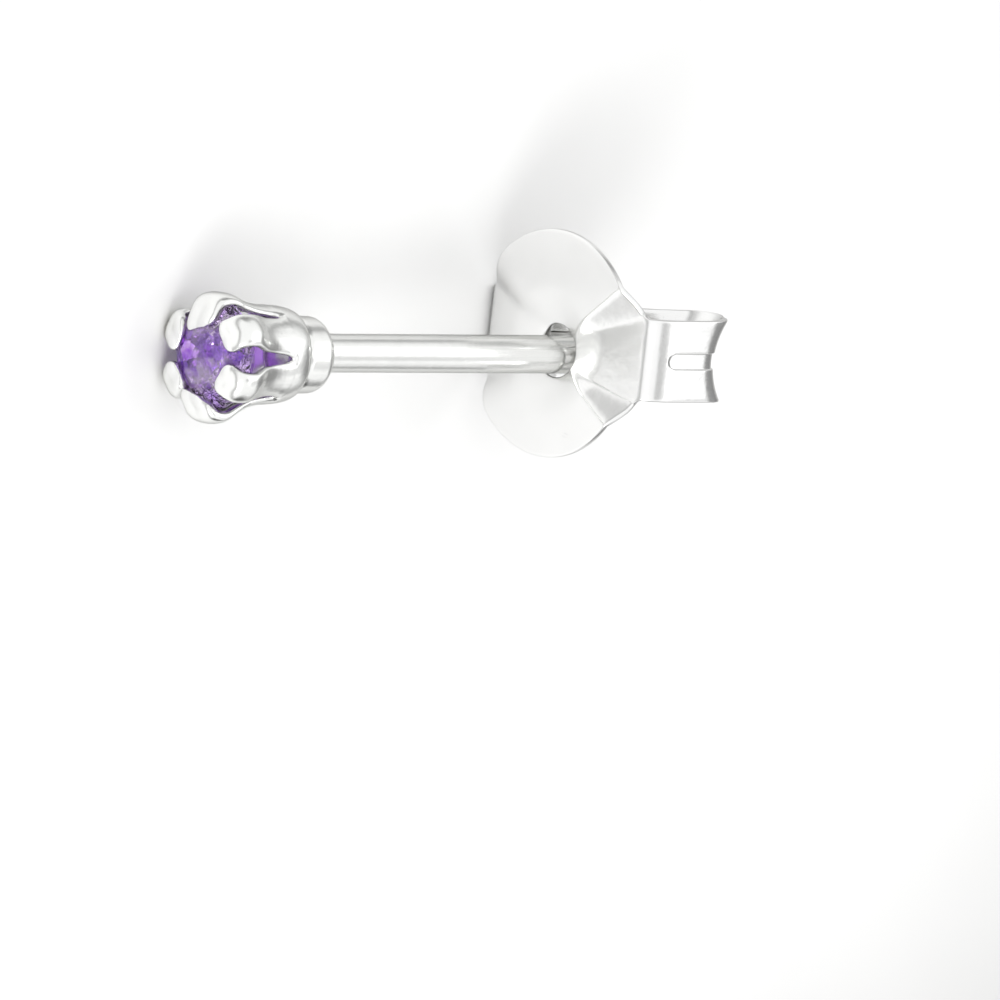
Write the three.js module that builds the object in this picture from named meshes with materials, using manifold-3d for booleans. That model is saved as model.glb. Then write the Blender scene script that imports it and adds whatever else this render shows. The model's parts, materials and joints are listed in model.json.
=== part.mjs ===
// Stud earring: a six-prong crown setting with a round faceted stone, on a straight post,
// with a butterfly clutch that slides on the post. Millimetres, +Z up.
//
// Each piece is shaped in the frame of the post: x runs back along the post, from the head
// to the tip, y is the upper lobe of the clutch and z is one of its wings. The centre of the
// collar's back face is at x = 0. The last section lays the whole earring down on its side.

import * as THREE from "three";
import { mergeVertices } from "three/addons/utils/BufferGeometryUtils.js";
import Module from "manifold-3d";

const wasm = await Module();
wasm.setup();

// Post
const POST_DIAMETER = 0.88;
const POST_LENGTH = 10; // from the collar's back face to the tip
const POST_ROOT = 0.5; // length sunk in the solid floor of the cup
const POST_TIP_ROUND = 0.2;
const POST_SIDES = 32;

// Collar and cup
const HEAD_DROP = 0.04; // the head's axis lies this far below the post's
const COLLAR_RADIUS = 0.88;
const COLLAR_LENGTH = 0.64; // from its back face to the groove under the cup
const COLLAR_EDGE = 0.2;
const COLLAR_GROOVE = 0.035;
const COLLAR_SLANT = 0.21; // the groove runs askew, nearer the prongs on the near side
const CUP_RADIUS = 1.13; // outside, where the prongs part
const CUP_HEIGHT = 1.5; // from the collar's back face to the rim between the prongs
const CUP_FLOOR = 1.1; // from the collar's back face to the bottom of the hollow
const CUP_SIDES = 48;

// Stone
const STONE_DIAMETER = 2.5;
const STONE_TABLE_SHARE = 0.56;
const STONE_CROWN_SHARE = 0.15;
const STONE_GIRDLE_SHARE = 0.03;
const STONE_PAVILION_SHARE = 0.42;
const STONE_CLEARANCE = 0.02;
const GIRDLE_AHEAD = 3.05; // from the collar's back face to the top of the girdle

// Prongs
const PRONG_WALL = 0.2;
const PRONG_ROOT = 0.35; // length that runs down inside the wall of the cup
const PRONG_ROOT_TUCK = 0.06; // how far its start lies inside that wall
const SLOT_WIDTH = 0.26; // between neighbouring prongs, a third of the way up
const PAD_THICKNESS = 0.38;
const PAD_WIDTH = 0.8;
const PAD_AHEAD = 3.33; // from the collar's back face to the outer end of the pads
const PAD_RISE = 0.14; // how much further ahead a pad's tip lies, up the stone's crown
const PAD_OUTER_RADIUS = 1.5;
const PAD_LENGTH = 0.74; // along the radius, from outer edge to tip

// Clutch
const CLUTCH_FROM_TIP = 2.5; // from the front of the disc to the tip of the post
const SHEET = 0.15;
const CLUTCH_RISE = 0.26; // the clutch sits a little high on the post
const DISC_RADIUS = 2.61;
const HOLE_DIAMETER = 1.2;
const HOLE_DROP = 0.17; // the hole was punched below the middle of the disc
const DIMPLE_DEPTH = 0.55;
const DIMPLE_RADIUS = 1.5;
const CREASE_OUT = 2.05; // where each diagonal crease meets the edge of the disc
const CREASE_UP = 1.53;
const CREASE_SLOPE = 0.56; // narrow band beside a crease
const FLAP_SLOPE = 0.29; // middle of a bent sector
const CREASE_SOFTNESS = 0.12;
const CREASE_TURN = 0.05; // softness of the turn from the flat face to a bent sector
const FAR_CREASE_TURN = 0.5; // the same on the far side, which was bent less sharply
const STRIP_WIDTH = 1.88;
const STRIP_FILLET = 0.25;
const WING_OVERHANG = 0.22; // how far a wing's outer wall stands beyond the disc
const WING_LENGTH = 3.35; // from the front of the disc to the back of the scroll
const WAIST_DEPTH = 0.36; // how far the scroll's rear bend is pinched in at its middle
const GRIP_CLEARANCE = 0.03; // between the post and the end of a scroll
const GROOVE_WIDTH = 0.33;
const GROOVE_DEPTH = 0.05;
const GROOVE_START = 1.12; // from the front of the disc
const GROOVE_FADE = 0.04; // half the length over which the groove's end runs out
const GROOVE_SHOULDER = 0.2; // width of the groove's sloping sides, as a share of its half
const FOLD_BLEND = 0.16; // share of a wing over which the disc's relief dies away

const DEG = Math.PI / 180;
const postRadius = POST_DIAMETER / 2;
const stoneRadius = STONE_DIAMETER / 2;
const holeRadius = HOLE_DIAMETER / 2;
const wingReach = DISC_RADIUS + WING_OVERHANG;
const clutchAt = POST_LENGTH - CLUTCH_FROM_TIP;
const stripHalf = STRIP_WIDTH / 2;

const smoothstep = (from, to, value) => {
  const t = Math.min(1, Math.max(0, (value - from) / (to - from)));
  return t * t * (3 - 2 * t);
};

// Solids

function toSolid(geometry) {
  const bare = geometry.clone();
  bare.deleteAttribute("normal");
  bare.deleteAttribute("uv");
  const merged = mergeVertices(bare, 1e-5);
  const vertProperties = new Float32Array(merged.attributes.position.array);
  const triVerts = new Uint32Array(merged.index.array);
  return new wasm.Manifold(new wasm.Mesh({ numProp: 3, vertProperties, triVerts }));
}

function toGeometry(solid) {
  const mesh = solid.getMesh();
  const geometry = new THREE.BufferGeometry();
  geometry.setAttribute("position", new THREE.BufferAttribute(mesh.vertProperties, 3));
  geometry.setIndex(new THREE.BufferAttribute(mesh.triVerts, 1));
  geometry.computeVertexNormals();
  return geometry;
}

function geometryOf(points, triangles) {
  const geometry = new THREE.BufferGeometry();
  const values = points.flatMap((p) => [p.x, p.y, p.z]);
  geometry.setAttribute("position", new THREE.Float32BufferAttribute(values, 3));
  geometry.setIndex(triangles.flat());
  geometry.computeVertexNormals();
  return geometry;
}

// A closed tube through rings of points, with a fan over each end
function tubeOf(rings) {
  const points = rings.flat();
  const sides = rings[0].length;
  const triangles = [];
  for (let i = 0; i + 1 < rings.length; i++) {
    for (let j = 0; j < sides; j++) {
      const a = i * sides + j;
      const b = i * sides + ((j + 1) % sides);
      triangles.push([a, b, a + sides], [b, b + sides, a + sides]);
    }
  }
  for (const [ring, last] of [[rings[0], false], [rings.at(-1), true]]) {
    const centre = new THREE.Vector3();
    ring.forEach((p) => centre.addScaledVector(p, 1 / sides));
    const hub = points.push(centre) - 1;
    const start = last ? (rings.length - 1) * sides : 0;
    for (let j = 0; j < sides; j++) {
      const a = start + j;
      const b = start + ((j + 1) % sides);
      triangles.push(last ? [hub, a, b] : [hub, b, a]);
    }
  }
  return geometryOf(points, triangles);
}

// A profile of [distance back, radius] turned round the post's axis
function turned(profile, sides) {
  const outline = profile.map(([back, radius]) => new THREE.Vector2(radius, back));
  const geometry = new THREE.LatheGeometry(outline, sides);
  return geometry.rotateZ(-Math.PI / 2);
}

// Cup, collar and post

function cupSolid() {
  const rim = COLLAR_RADIUS;
  const grooveFloor = COLLAR_RADIUS - COLLAR_GROOVE;
  const flare = CUP_RADIUS - COLLAR_RADIUS;
  const rise = CUP_HEIGHT - COLLAR_LENGTH;
  // Columns: share of the cup's rise ahead of the groove, share of its flare
  const bowl = [
    [0.06, 0.14],
    [0.18, 0.5],
    [0.33, 0.71],
    [0.52, 0.85],
    [0.76, 0.95],
    [1, 1],
  ];
  const innerTop = CUP_RADIUS - PRONG_WALL;
  const outside = [
    [0, 0],
    [0, rim - COLLAR_EDGE],
    [-COLLAR_EDGE * 0.13, rim - COLLAR_EDGE * 0.5],
    [-COLLAR_EDGE * 0.5, rim - COLLAR_EDGE * 0.13],
    [-COLLAR_EDGE, rim],
    [-COLLAR_LENGTH * 0.88, rim],
    [-COLLAR_LENGTH, grooveFloor],
    ...bowl.map(([up, out]) => [-COLLAR_LENGTH - up * rise, rim + out * flare]),
  ];
  const inside = [
    [-CUP_HEIGHT, innerTop],
    [-CUP_FLOOR - 0.45 * (CUP_HEIGHT - CUP_FLOOR), innerTop * 0.9],
    [-CUP_FLOOR, innerTop * 0.55],
    [-CUP_FLOOR, 0],
  ];
  return toSolid(slanted(turned([...outside, ...inside].reverse(), CUP_SIDES)));
}

// Slides each point along the post by its nearness to the groove and its place round it
function slanted(geometry) {
  const position = geometry.attributes.position;
  for (let i = 0; i < position.count; i++) {
    const ahead = -position.getX(i);
    const radius = Math.hypot(position.getY(i), position.getZ(i));
    const share =
      ahead < COLLAR_LENGTH
        ? ahead / COLLAR_LENGTH
        : (CUP_HEIGHT - ahead) / (CUP_HEIGHT - COLLAR_LENGTH);
    const turn = radius > 0 ? position.getZ(i) / radius : 0;
    position.setX(i, -ahead - COLLAR_SLANT * share * turn);
  }
  return geometry;
}

function postSolid() {
  const profile = [
    [-POST_ROOT, 0],
    [-POST_ROOT, postRadius],
    [POST_LENGTH - POST_TIP_ROUND, postRadius],
    [POST_LENGTH - POST_TIP_ROUND * 0.3, postRadius - POST_TIP_ROUND * 0.3],
    [POST_LENGTH, postRadius - POST_TIP_ROUND],
    [POST_LENGTH, 0],
  ];
  return toSolid(turned(profile, POST_SIDES));
}

// Prongs

// Each prong was bent over by hand, so no two are alike. Angles are in degrees, round the
// post from +z towards +y, and lean is the angle by which the pad's tip goes further round.
// Outer, length and width are shares of the pad's named sizes.
const PRONGS = [
  { name: "top", angle: 91, lean: 20, outer: 0.95, length: 1.12, width: 1.12, twist: -6 },
  { name: "near_upper", angle: 33, lean: 0, outer: 0.99, length: 0.94, width: 0.98, twist: 5 },
  { name: "near_lower", angle: -27, lean: 0, outer: 0.99, length: 0.96, width: 0.98, twist: -4 },
  { name: "bottom", angle: -86, lean: -16, outer: 1.05, length: 0.9, width: 1.14, twist: 7 },
  { name: "far_lower", angle: -141, lean: 0, outer: 1.0, length: 0.96, width: 0.96, twist: -5 },
  { name: "far_upper", angle: 155, lean: 9, outer: 0.97, length: 0.98, width: 0.96, twist: 4 },
];
const PRONG_STEPS = 22;
const SECTION_SIDES = 14;
const SECTION_SQUARENESS = 0.72;

// Centre line of a prong, as [distance ahead of the collar's back face, radius], with its
// half thickness and half width
function prongStations(prong) {
  const outer = PAD_OUTER_RADIUS * prong.outer;
  const tip = outer - PAD_LENGTH * prong.length;
  const pad = PAD_THICKNESS / 2;
  const wall = PRONG_WALL / 2;
  const padHalf = (PAD_WIDTH * prong.width) / 2;
  const stem = CUP_RADIUS - wall;
  const shoulder = outer - pad * 0.85;
  const climb = PAD_AHEAD - CUP_HEIGHT;
  const flare = shoulder - stem;
  const sector = Math.PI / PRONGS.length;
  // Half width of a prong at a radius, beside a slot of so many times the named width
  const beside = (radius, slot) => radius * sector - (slot * SLOT_WIDTH) / 2;
  const reach = (share) => CUP_HEIGHT + climb * share;
  const rise = (share) => PAD_AHEAD + PAD_RISE * share;
  // Columns: ahead, radius, half thickness, half width
  return [
    [CUP_HEIGHT - PRONG_ROOT, stem - PRONG_ROOT_TUCK, wall * 0.8, stem * sector],
    [CUP_HEIGHT, stem, wall, beside(stem, -0.1)],
    [reach(0.16), stem + flare * 0.04, wall, beside(stem, 0.6)],
    [reach(0.38), stem + flare * 0.2, wall * 1.1, beside(stem + flare * 0.2, 1)],
    [reach(0.57), stem + flare * 0.52, wall * 1.2, beside(stem + flare * 0.52, 1.3)],
    [reach(0.8), shoulder, pad * 0.8, padHalf],
    [rise(0) - pad * 0.15, shoulder - pad * 0.35, pad * 0.95, padHalf],
    [rise(0.4) + pad * 0.1, (shoulder + tip) / 2, pad, padHalf * 1.02],
    [rise(0.8), tip + pad * 0.8, pad * 0.9, padHalf * 0.92],
    [rise(1) - pad * 0.12, tip + pad * 0.25, pad * 0.6, padHalf * 0.66],
    [rise(1) - pad * 0.2, tip, pad * 0.2, padHalf * 0.25],
  ];
}

function prongSolid(prong) {
  const stations = prongStations(prong);
  const line = new THREE.CatmullRomCurve3(
    stations.map(([ahead, radius]) => new THREE.Vector3(ahead, radius, 0)),
    false,
    "centripetal",
  );
  const sizes = new THREE.CatmullRomCurve3(
    stations.map(([, , thick, wide]) => new THREE.Vector3(thick, wide, 0)),
    false,
    "centripetal",
  );
  const rings = [];
  for (let i = 0; i <= PRONG_STEPS; i++) {
    const t = i / PRONG_STEPS;
    const middle = line.getPoint(t);
    const along = line.getTangent(t);
    const size = sizes.getPoint(t);
    const twist = prong.twist * DEG * smoothstep(0.5, 0.8, t);
    const turn = (prong.angle + prong.lean * smoothstep(0.55, 1, t)) * DEG;
    const ring = [];
    for (let j = 0; j < SECTION_SIDES; j++) {
      const angle = (j / SECTION_SIDES) * 2 * Math.PI;
      const c = Math.cos(angle);
      const s = Math.sin(angle);
      let thick = size.x * Math.sign(c) * Math.abs(c) ** SECTION_SQUARENESS;
      const wide = size.y * Math.sign(s) * Math.abs(s) ** SECTION_SQUARENESS;
      thick += wide * Math.tan(twist) * 0.5;
      const ahead = middle.x - along.y * thick;
      const radius = middle.y + along.x * thick;
      const round = turn + wide / Math.max(middle.y, stoneRadius * 0.5);
      ring.push(new THREE.Vector3(-ahead, radius * Math.sin(round), radius * Math.cos(round)));
    }
    rings.push(ring);
  }
  return toSolid(tubeOf(rings));
}

// Stone

// A round brilliant cut: table, 8 star, 8 kite and 16 upper girdle facets, a girdle of
// 16 sides, 16 lower girdle and 8 main facets. The skin may be grown outward.
function stoneGeometry(grow = 0) {
  const radius = stoneRadius + grow;
  const girdle = STONE_DIAMETER * STONE_GIRDLE_SHARE + grow;
  const crown = STONE_DIAMETER * STONE_CROWN_SHARE + grow;
  const pavilion = STONE_DIAMETER * STONE_PAVILION_SHARE + grow;
  const table = stoneRadius * STONE_TABLE_SHARE + grow;
  const star = table + (radius - table) * 0.52;
  const heel = radius * 0.24;
  const half = 22.5 * DEG;
  const starHeight = (crown * (radius - star * Math.cos(half))) / (radius - table);
  const heelDepth = pavilion * (1 - (heel * Math.cos(half)) / radius);
  const ring = (count, turn, r, height) =>
    Array.from({ length: count }, (_, k) => {
      const angle = (k / count) * 2 * Math.PI + turn;
      return new THREE.Vector3(height, r * Math.sin(angle), r * Math.cos(angle));
    });
  const points = [
    ...ring(8, 0, table, crown),
    ...ring(8, half, star, starHeight),
    ...ring(16, 0, radius, 0),
    ...ring(16, 0, radius, -girdle),
    ...ring(8, half, heel, -girdle - heelDepth),
    new THREE.Vector3(crown, 0, 0),
    new THREE.Vector3(-girdle - pavilion, 0, 0),
  ];
  const [T, S, G, H, P, MIDDLE, CULET] = [0, 8, 16, 32, 48, 56, 57];
  const triangles = [];
  for (let k = 0; k < 8; k++) {
    const next = (k + 1) % 8;
    const [g0, g1, g2] = [2 * k, 2 * k + 1, (2 * k + 2) % 16];
    triangles.push([MIDDLE, T + k, T + next]);
    triangles.push([T + k, S + k, T + next]);
    triangles.push([T + k, G + g0, S + k], [T + next, S + k, G + g2]);
    triangles.push([S + k, G + g0, G + g1], [S + k, G + g1, G + g2]);
    triangles.push([H + g0, P + k, H + g1], [H + g1, P + k, H + g2]);
    triangles.push([H + g0, CULET, P + k], [H + g2, P + k, CULET]);
    for (const [a, b] of [[g0, g1], [g1, g2]]) {
      triangles.push([G + a, H + a, G + b], [G + b, H + a, H + b]);
    }
  }
  const ahead = points.map((p) => new THREE.Vector3(-GIRDLE_AHEAD - p.x, p.y, p.z));
  return geometryOf(ahead, triangles);
}

// Setting and post, soldered into one piece and cut to seat the stone
function settingGeometry() {
  let crown = cupSolid();
  for (const prong of PRONGS) {
    crown = crown.add(prongSolid(prong));
  }
  crown = crown.subtract(toSolid(stoneGeometry(STONE_CLEARANCE)));
  return toGeometry(crown.translate([0, -HEAD_DROP, 0]).add(postSolid()));
}

// Clutch

// Outer face of one wing, from the fold at the disc's edge round the scroll to its end
// beside the post. Columns: share of the wing's length behind the disc's front, and share
// of the way from the post's side to the outer wall.
const WING_PATH = [
  { back: 0.16, out: 0.816 },
  { back: 0.168, out: 0.85 },
  { back: 0.182, out: 0.887 },
  { back: 0.225, out: 0.94 },
  { back: 0.31, out: 0.98 },
  { back: 0.42, out: 0.996 },
  { back: 0.62, out: 1.0 },
  { back: 0.78, out: 0.985 },
  { back: 0.89, out: 0.93 },
  { back: 0.965, out: 0.82 },
  { back: 1.0, out: 0.67 },
  { back: 0.985, out: 0.5 },
  { back: 0.925, out: 0.35 },
  { back: 0.78, out: 0.225 },
  { back: 0.58, out: 0.115 },
  { back: 0.4, out: 0.02 },
  { back: 0.27, out: 0.0 },
  { back: 0.17, out: 0.035 },
];
const wingSeat = postRadius + GRIP_CLEARANCE;
const wingPoint = ({ back, out }) =>
  new THREE.Vector3(back * WING_LENGTH, 0, wingSeat + out * (wingReach - wingSeat));
const wingLine = new THREE.CatmullRomCurve3(WING_PATH.map(wingPoint), false, "centripetal");
const wingRun = wingLine.getLength();
const foldOut = wingPoint(WING_PATH[0]).z;
const foldBack = wingPoint(WING_PATH[0]).x;

// Half width of the blank at a distance from its middle: disc, fillet, then strip
function blankEdge(distance) {
  const filletHeight = stripHalf + STRIP_FILLET;
  const filletAt = Math.sqrt((DISC_RADIUS + STRIP_FILLET) ** 2 - filletHeight ** 2);
  const tangentAt = (filletAt * DISC_RADIUS) / (DISC_RADIUS + STRIP_FILLET);
  if (distance >= filletAt) return stripHalf;
  if (distance > tangentAt) {
    return filletHeight - Math.sqrt(STRIP_FILLET ** 2 - (filletAt - distance) ** 2);
  }
  return Math.sqrt(DISC_RADIUS ** 2 - distance ** 2);
}

// The larger of two values, with the corner between them rounded
function softMax(a, b, softness) {
  const near = Math.max(0, 1 - Math.abs(a - b) / softness);
  return Math.max(a, b) + (softness * near ** 2) / 4;
}

// How far the disc's face lies behind its front plane. Diagonal creases run from the hole
// to the edge, and the sector between two of them is bent back towards a wing.
function discRelief(out, up, wing) {
  const height = up + HOLE_DROP;
  const creaseHeight = height > 0 ? CREASE_UP + HOLE_DROP : CREASE_UP - HOLE_DROP;
  const lead = out - (Math.abs(height) * CREASE_OUT) / creaseHeight;
  const band = CREASE_SLOPE * lead;
  const flap = FLAP_SLOPE * Math.max(0, out - holeRadius);
  const turn = wing > 0 ? CREASE_TURN : FAR_CREASE_TURN;
  const bent = softMax(0, -softMax(-band, -flap, CREASE_SOFTNESS), turn);
  const dimple = Math.max(0, 1 - Math.hypot(out, height) / DIMPLE_RADIUS);
  return bent + DIMPLE_DEPTH * dimple ** 1.5;
}

// A point of the blank, folded: run is the distance along the strip from the post, signed
// for the two wings, and up is the place across it. Gives the outer face.
function folded(run, up) {
  const wing = Math.sign(run) || 1;
  const distance = Math.abs(run);
  if (distance <= foldOut) {
    return new THREE.Vector3(discRelief(distance, up, wing), up, wing * distance);
  }
  const t = Math.min(1, (distance - foldOut) / wingRun);
  const spot = wingLine.getPointAt(t);
  const along = wingLine.getTangentAt(t);
  const rear = smoothstep(0.5 * WING_LENGTH, WING_LENGTH, spot.x);
  const across = Math.min(1, Math.abs(up) / stripHalf);
  spot.x -= WAIST_DEPTH * rear * (1 - across ** 2);
  const fold = 1 - smoothstep(0, FOLD_BLEND, t);
  spot.x += fold * (discRelief(foldOut, up, wing) - foldBack);
  const grooveHalf = GROOVE_WIDTH / 2;
  const started = smoothstep(-GROOVE_FADE, GROOVE_FADE, spot.x - grooveFront(up));
  const lengthways = t > 0.5 ? 1 : started;
  const sideways = 1 - smoothstep(grooveHalf, grooveHalf * (1 + GROOVE_SHOULDER), Math.abs(up));
  const press = GROOVE_DEPTH * sideways * lengthways;
  return new THREE.Vector3(spot.x + along.z * press, up, wing * (spot.z - along.x * press));
}

// The groove starts with a round end
function grooveFront(up) {
  const half = GROOVE_WIDTH / 2;
  const inside = Math.min(half, Math.abs(up));
  return GROOVE_START + half - Math.sqrt(half ** 2 - inside ** 2);
}

function outwardAt(run, up) {
  const step = 0.004;
  const a = folded(run + step, up).sub(folded(run - step, up));
  const b = folded(run, up + step).sub(folded(run, up - step));
  return a.cross(b).normalize();
}

const DISC_ROWS = [0, 0.1, 0.22, 0.36, 0.52, 0.7, 0.86, 1];
const LOBE_COLUMNS = 22;
const STRIP_COLUMNS = [-1, -0.75, -0.45, -0.206, -0.172, 0, 0.172, 0.206, 0.45, 0.75, 1];
const STRIP_ROWS = 44;

// The blank as a fan of columns round the hole. The columns that end on a fold go on along
// the wing. Gives the column points as [run, up].
function blankColumns() {
  const columns = [];
  const stripColumn = (wing, share) => {
    const at = (distance) => [wing * distance, share * blankEdge(distance)];
    const rows = Array.from({ length: STRIP_ROWS }, (_, i) =>
      at(foldOut + (wingRun * (i + 1)) / STRIP_ROWS));
    columns.push({ rim: at(foldOut), tail: rows });
  };
  const lobe = (side) => {
    const first = Math.acos(foldOut / DISC_RADIUS);
    for (let k = 1; k < LOBE_COLUMNS; k++) {
      const turn = first + (k / LOBE_COLUMNS) * (Math.PI - 2 * first);
      const out = side * DISC_RADIUS * Math.cos(turn);
      columns.push({ rim: [out, side * blankEdge(Math.abs(out))], tail: [] });
    }
  };
  STRIP_COLUMNS.forEach((share) => stripColumn(1, share));
  lobe(1);
  STRIP_COLUMNS.toReversed().forEach((share) => stripColumn(-1, share));
  lobe(-1);
  return columns.map(({ rim, tail }) => {
    const [out, height] = [rim[0], rim[1] + HOLE_DROP];
    const hub = holeRadius / Math.hypot(out, height);
    const shares = DISC_ROWS.map((row) => hub + row * (1 - hub));
    return [...shares.map((f) => [out * f, height * f - HOLE_DROP]), ...tail];
  });
}

function clutchGeometry() {
  const columns = blankColumns();
  const points = [];
  const outer = [];
  const inner = [];
  for (const column of columns) {
    const front = [];
    const back = [];
    for (const [run, up] of column) {
      const face = folded(run, up);
      const behind = face.clone().addScaledVector(outwardAt(run, up), -SHEET);
      front.push(points.push(face) - 1);
      back.push(points.push(behind) - 1);
    }
    outer.push(front);
    inner.push(back);
  }
  const triangles = [];
  const quad = (a, b, c, d) => triangles.push([a, c, b], [a, d, c]);
  const wall = (a, b) => quad(a[0], b[0], b[1], a[1]);
  const pair = (j, i) => [outer[j][i], inner[j][i]];
  for (let j = 0; j < columns.length; j++) {
    const next = (j + 1) % columns.length;
    const shared = Math.min(outer[j].length, outer[next].length);
    for (let i = 0; i + 1 < shared; i++) {
      quad(outer[j][i], outer[next][i], outer[next][i + 1], outer[j][i + 1]);
      quad(inner[j][i], inner[j][i + 1], inner[next][i + 1], inner[next][i]);
    }
    wall(pair(next, 0), pair(j, 0));
    wall(pair(j, shared - 1), pair(next, shared - 1));
    for (let i = shared - 1; i + 1 < outer[j].length; i++) {
      wall(pair(j, i + 1), pair(j, i));
    }
    for (let i = shared - 1; i + 1 < outer[next].length; i++) {
      wall(pair(next, i), pair(next, i + 1));
    }
  }
  return geometryOf(points, triangles).translate(clutchAt, CLUTCH_RISE, 0);
}

// Assembly

const silver = (name) =>
  new THREE.MeshStandardMaterial({ name, color: 0xe6e6e2, roughness: 0.12, metalness: 1 });
const amethyst = new THREE.MeshStandardMaterial({
  name: "purple_stone",
  color: 0x7a4fb5,
  roughness: 0.03,
  metalness: 0,
});

const pieces = [
  ["setting_and_post", settingGeometry(), silver("cast_silver")],
  ["stone", stoneGeometry().translate(0, -HEAD_DROP, 0), amethyst],
  ["clutch", clutchGeometry(), silver("sheet_silver")],
];

const earring = new THREE.Group();
for (const [name, geometry, material] of pieces) {
  const mesh = new THREE.Mesh(geometry, material);
  mesh.name = name;
  earring.add(mesh);
}

// Resting place: it lies on one wing and on the prongs of the same side, so it is tilted
// until the lowest points of the head and of the clutch are level.
const lowest = (mesh, tilt) => {
  const position = mesh.geometry.attributes.position;
  let low = { height: Infinity, x: 0, z: 0 };
  for (let i = 0; i < position.count; i++) {
    const x = position.getX(i);
    const z = position.getZ(i);
    const height = z * Math.cos(tilt) + x * Math.sin(tilt);
    if (height < low.height) low = { height, x, z };
  }
  return low;
};
const [head, , clutch] = earring.children;
let tilt = 0;
for (let i = 0; i < 12; i++) {
  const front = lowest(head, tilt);
  const back = lowest(clutch, tilt);
  tilt = Math.atan2(front.z - back.z, back.x - front.x);
}
earring.rotation.y = -tilt;

const group = new THREE.Group();
group.add(earring);
group.updateMatrixWorld(true);
const box = new THREE.Box3().setFromObject(group, true);
const middle = box.getCenter(new THREE.Vector3());
earring.position.set(-middle.x, -middle.y, -box.min.z);

export default group;
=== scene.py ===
import json
import math

import bmesh
import bpy
import numpy as np
from mathutils import Matrix, Vector


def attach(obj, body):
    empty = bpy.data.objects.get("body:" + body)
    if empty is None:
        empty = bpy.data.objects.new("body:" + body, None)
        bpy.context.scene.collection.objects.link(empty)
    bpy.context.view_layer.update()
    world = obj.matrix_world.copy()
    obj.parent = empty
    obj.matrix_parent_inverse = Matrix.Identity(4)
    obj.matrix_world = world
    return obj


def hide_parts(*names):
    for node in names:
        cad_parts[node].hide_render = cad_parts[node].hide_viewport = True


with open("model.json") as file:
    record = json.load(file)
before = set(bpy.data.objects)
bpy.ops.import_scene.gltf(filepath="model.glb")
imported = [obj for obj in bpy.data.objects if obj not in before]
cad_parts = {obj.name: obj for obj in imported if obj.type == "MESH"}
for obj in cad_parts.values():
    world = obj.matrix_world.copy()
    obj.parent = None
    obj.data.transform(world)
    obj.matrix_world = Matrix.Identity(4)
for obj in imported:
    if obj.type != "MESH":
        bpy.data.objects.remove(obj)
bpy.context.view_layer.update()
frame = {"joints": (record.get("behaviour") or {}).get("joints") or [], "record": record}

# Lengths are in millimetres until a mesh is laid in the row frame, which is in metres.
MM = 0.001

# The frame of the post: x runs back along it from the collar's back face, y points to the
# upper lobe of the clutch and z to the near wing. The record gives its direction and place.
COLLAR_MOUNT_UP = 0.61
slide_axis = Vector(frame["joints"][0]["axis"]).normalized()
lobe_axis = Vector((0, 1, 0))
wing_axis = slide_axis.cross(lobe_axis)
mounts = {mount["name"]: mount for mount in frame["record"]["mounts"]}
origin = Vector(mounts["collar_back"]["pos_m"]) - COLLAR_MOUNT_UP * MM * lobe_axis
BASIS = np.array([slide_axis, lobe_axis, wing_axis])


def to_row(points):
    return np.array(origin) + (np.asarray(points, float) @ BASIS) * MM


def direction(local):
    return Vector(np.asarray(local, float) @ BASIS).normalized()


# Sizes of the CAD solids, in millimetres. Slopes and shares are plain numbers.

# Post
POST_RADIUS = 0.44
POST_LENGTH = 10.0

# Collar and cup
HEAD_DROP = 0.04  # from the post's axis down to the head's
COLLAR_RADIUS = 0.88
COLLAR_LENGTH = 0.64
COLLAR_EDGE = 0.2
COLLAR_GROOVE = 0.05  # a little deeper than in the solid, because polishing softens it
COLLAR_SLANT = 0.21
CUP_RADIUS = 1.13
CUP_HEIGHT = 1.5
CUP_FLOOR = 1.1

# Stone
STONE_RADIUS = 1.25
STONE_CROWN = 0.375
STONE_GIRDLE = 0.075
STONE_PAVILION = 1.05
GIRDLE_AHEAD = 3.05  # from the collar's back to the girdle's front edge

# Prongs
PRONG_WALL = 0.2
PRONG_ROOT = 0.35
PRONG_ROOT_TUCK = 0.06
SLOT_WIDTH = 0.26
PAD_THICKNESS = 0.38
PAD_WIDTH = 0.8
PAD_AHEAD = 3.33
PAD_RISE = 0.14
PAD_OUTER_RADIUS = 1.5
PAD_LENGTH = 0.74

# Clutch
CLUTCH_FROM_TIP = 2.5  # from the front of the disc to the tip of the post
CLUTCH_RISE = 0.26  # from the post's axis up to the disc's middle
SHEET = 0.15
DISC_RADIUS = 2.61
HOLE_RADIUS = 0.6
HOLE_DROP = 0.17  # from the disc's middle down to the hole's
DIMPLE_DEPTH = 0.55
DIMPLE_RADIUS = 1.5
CREASE_OUT = 2.05
CREASE_UP = 1.53
CREASE_SLOPE = 0.56
FLAP_SLOPE = 0.29
CREASE_SOFTNESS = 0.12
CREASE_TURN = 0.05
FAR_CREASE_TURN = 0.5
STRIP_HALF = 0.94
STRIP_FILLET = 0.25
WING_OVERHANG = 0.22  # how far a wing's outer wall stands beyond the disc
WING_LENGTH = 3.35
WAIST_DEPTH = 0.36
GRIP_CLEARANCE = 0.03  # between the post and the end of a scroll
GROOVE_WIDTH = 0.33
GROOVE_DEPTH = 0.05
GROOVE_START = 1.12  # from the front of the disc
GROOVE_FADE = 0.04  # half the length over which the groove's end runs out
GROOVE_SHOULDER = 0.2  # width of the groove's sloping sides, as a share of its half
FOLD_BLEND = 0.16  # share of the wing's run over which it takes leave of the disc's form

CLUTCH_AT = POST_LENGTH - CLUTCH_FROM_TIP
WING_REACH = DISC_RADIUS + WING_OVERHANG
WING_SEAT = POST_RADIUS + GRIP_CLEARANCE


# Curves and meshes

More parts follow.
